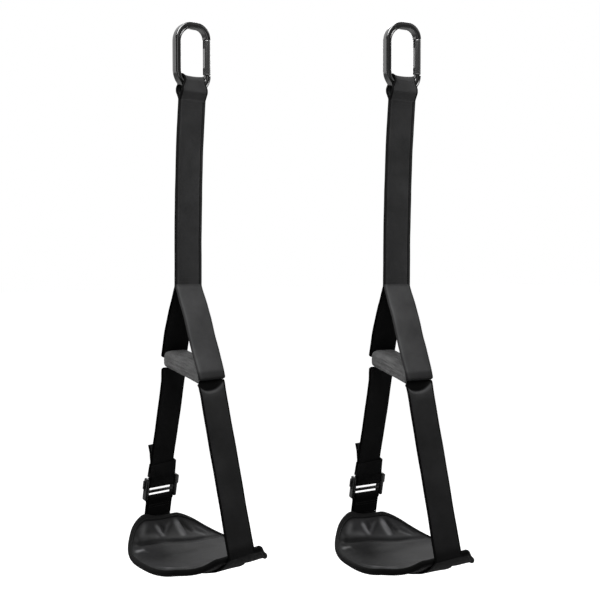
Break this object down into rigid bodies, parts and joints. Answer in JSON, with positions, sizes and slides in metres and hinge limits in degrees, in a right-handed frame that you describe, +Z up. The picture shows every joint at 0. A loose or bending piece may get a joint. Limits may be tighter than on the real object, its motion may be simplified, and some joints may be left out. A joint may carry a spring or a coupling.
{
  "type": "ab strap",
  "caption": "Hanging webbing straps with a carabiner, a padded hand grip, a ladder-buckle adjuster and a curved padded arm sling each, for suspended abdominal exercise.",
  "frame": {"origin": "Halfway between the inside tops of the two rings, where the straps hang.", "axes": "+Z up, -Y towards the straps' front legs, +X from the left strap to the right one; each strap is turned 5.83 degrees from these axes."},
  "size_m": [0.498, 0.4505, 0.889],
  "materials": {
    "ring_steel": "gloss black coating on a forged ring",
    "gate_steel": "satin dark grey",
    "pin_steel": "plain turned steel",
    "webbing": "black woven webbing",
    "grip_fabric": "dark grey knitted cover",
    "foam": "soft foam",
    "buckle_plastic": "gloss black moulding",
    "pad_leather": "smooth black coated leather cloth",
    "binding_tape": "black edge tape"
  },
  "bodies": {
    "rings": {"left_carabiner_body": "ring_steel", "left_gate_hinge_pin": "pin_steel", "right_carabiner_body": "ring_steel", "right_gate_hinge_pin": "pin_steel"},
    "left_gate": {"left_carabiner_gate": "gate_steel", "left_gate_latch_pin": "pin_steel", "left_gate_spring": "pin_steel", "left_gate_plunger": "pin_steel"},
    "left_strap": {"left_ring_loop": "webbing", "left_hanging_strap": "webbing", "left_upper_leg_front": "webbing", "left_upper_leg_rear": "webbing", "left_grip_webbing": "webbing", "left_grip_core": "foam", "left_grip_cover": "grip_fabric", "left_lower_leg_front": "webbing", "left_lower_leg_rear": "webbing", "left_pad_lining": "pad_leather", "left_pad_foam": "foam", "left_pad_backing": "pad_leather", "left_pad_binding": "binding_tape", "left_under_pad_webbing": "webbing"},
    "left_adjuster": {"left_adjuster_webbing": "webbing", "left_buckle_frame": "buckle_plastic", "left_buckle_anchor": "webbing"},
    "left_keeper": {"left_keeper": "webbing"},
    "right_gate": {"right_carabiner_gate": "gate_steel", "right_gate_latch_pin": "pin_steel", "right_gate_spring": "pin_steel", "right_gate_plunger": "pin_steel"},
    "right_strap": {"right_ring_loop": "webbing", "right_hanging_strap": "webbing", "right_upper_leg_front": "webbing", "right_upper_leg_rear": "webbing", "right_grip_webbing": "webbing", "right_grip_core": "foam", "right_grip_cover": "grip_fabric", "right_lower_leg_front": "webbing", "right_lower_leg_rear": "webbing", "right_pad_lining": "pad_leather", "right_pad_foam": "foam", "right_pad_backing": "pad_leather", "right_pad_binding": "binding_tape", "right_under_pad_webbing": "webbing"},
    "right_adjuster": {"right_adjuster_webbing": "webbing", "right_buckle_frame": "buckle_plastic", "right_buckle_anchor": "webbing"},
    "right_keeper": {"right_keeper": "webbing"}
  },
  "joints": [
    {"name": "left_gate_hinge", "type": "hinge", "parent": "rings", "child": "left_gate", "pos_m": [-0.11232, 0.09817, -0.066], "axis": [0.1016, -0.9948, 0], "range_deg": [0, 24], "stiffness_Nm_per_rad": 0.4, "springref_deg": -28.65},
    {"name": "left_strap_swing", "type": "hinge", "parent": "rings", "child": "left_strap", "pos_m": [-0.14132, 0.09521, -0.0675], "axis": [-0.1016, 0.9948, 0], "range_deg": [-8, 8]},
    {"name": "left_adjuster_slide", "type": "slide", "parent": "left_strap", "child": "left_adjuster", "axis": [0.006, -0.2356, 0.9718], "range_m": [0, 0.04]},
    {"name": "left_keeper_slide", "type": "slide", "parent": "left_adjuster", "child": "left_keeper", "axis": [0.006, -0.2356, 0.9718], "range_m": [0, 0.01]},
    {"name": "right_gate_hinge", "type": "hinge", "parent": "rings", "child": "right_gate", "pos_m": [0.17032, -0.09817, -0.066], "axis": [-0.1016, -0.9948, 0], "range_deg": [0, 24], "stiffness_Nm_per_rad": 0.4, "springref_deg": -28.65},
    {"name": "right_strap_swing", "type": "hinge", "parent": "rings", "child": "right_strap", "pos_m": [0.14132, -0.09521, -0.0675], "axis": [0.1016, 0.9948, 0], "range_deg": [-8, 8]},
    {"name": "right_adjuster_slide", "type": "slide", "parent": "right_strap", "child": "right_adjuster", "axis": [-0.0417, -0.232, 0.9718], "range_m": [0, 0.04]},
    {"name": "right_keeper_slide", "type": "slide", "parent": "right_adjuster", "child": "right_keeper", "axis": [-0.0417, -0.232, 0.9718], "range_m": [0, 0.01]}
  ]
}
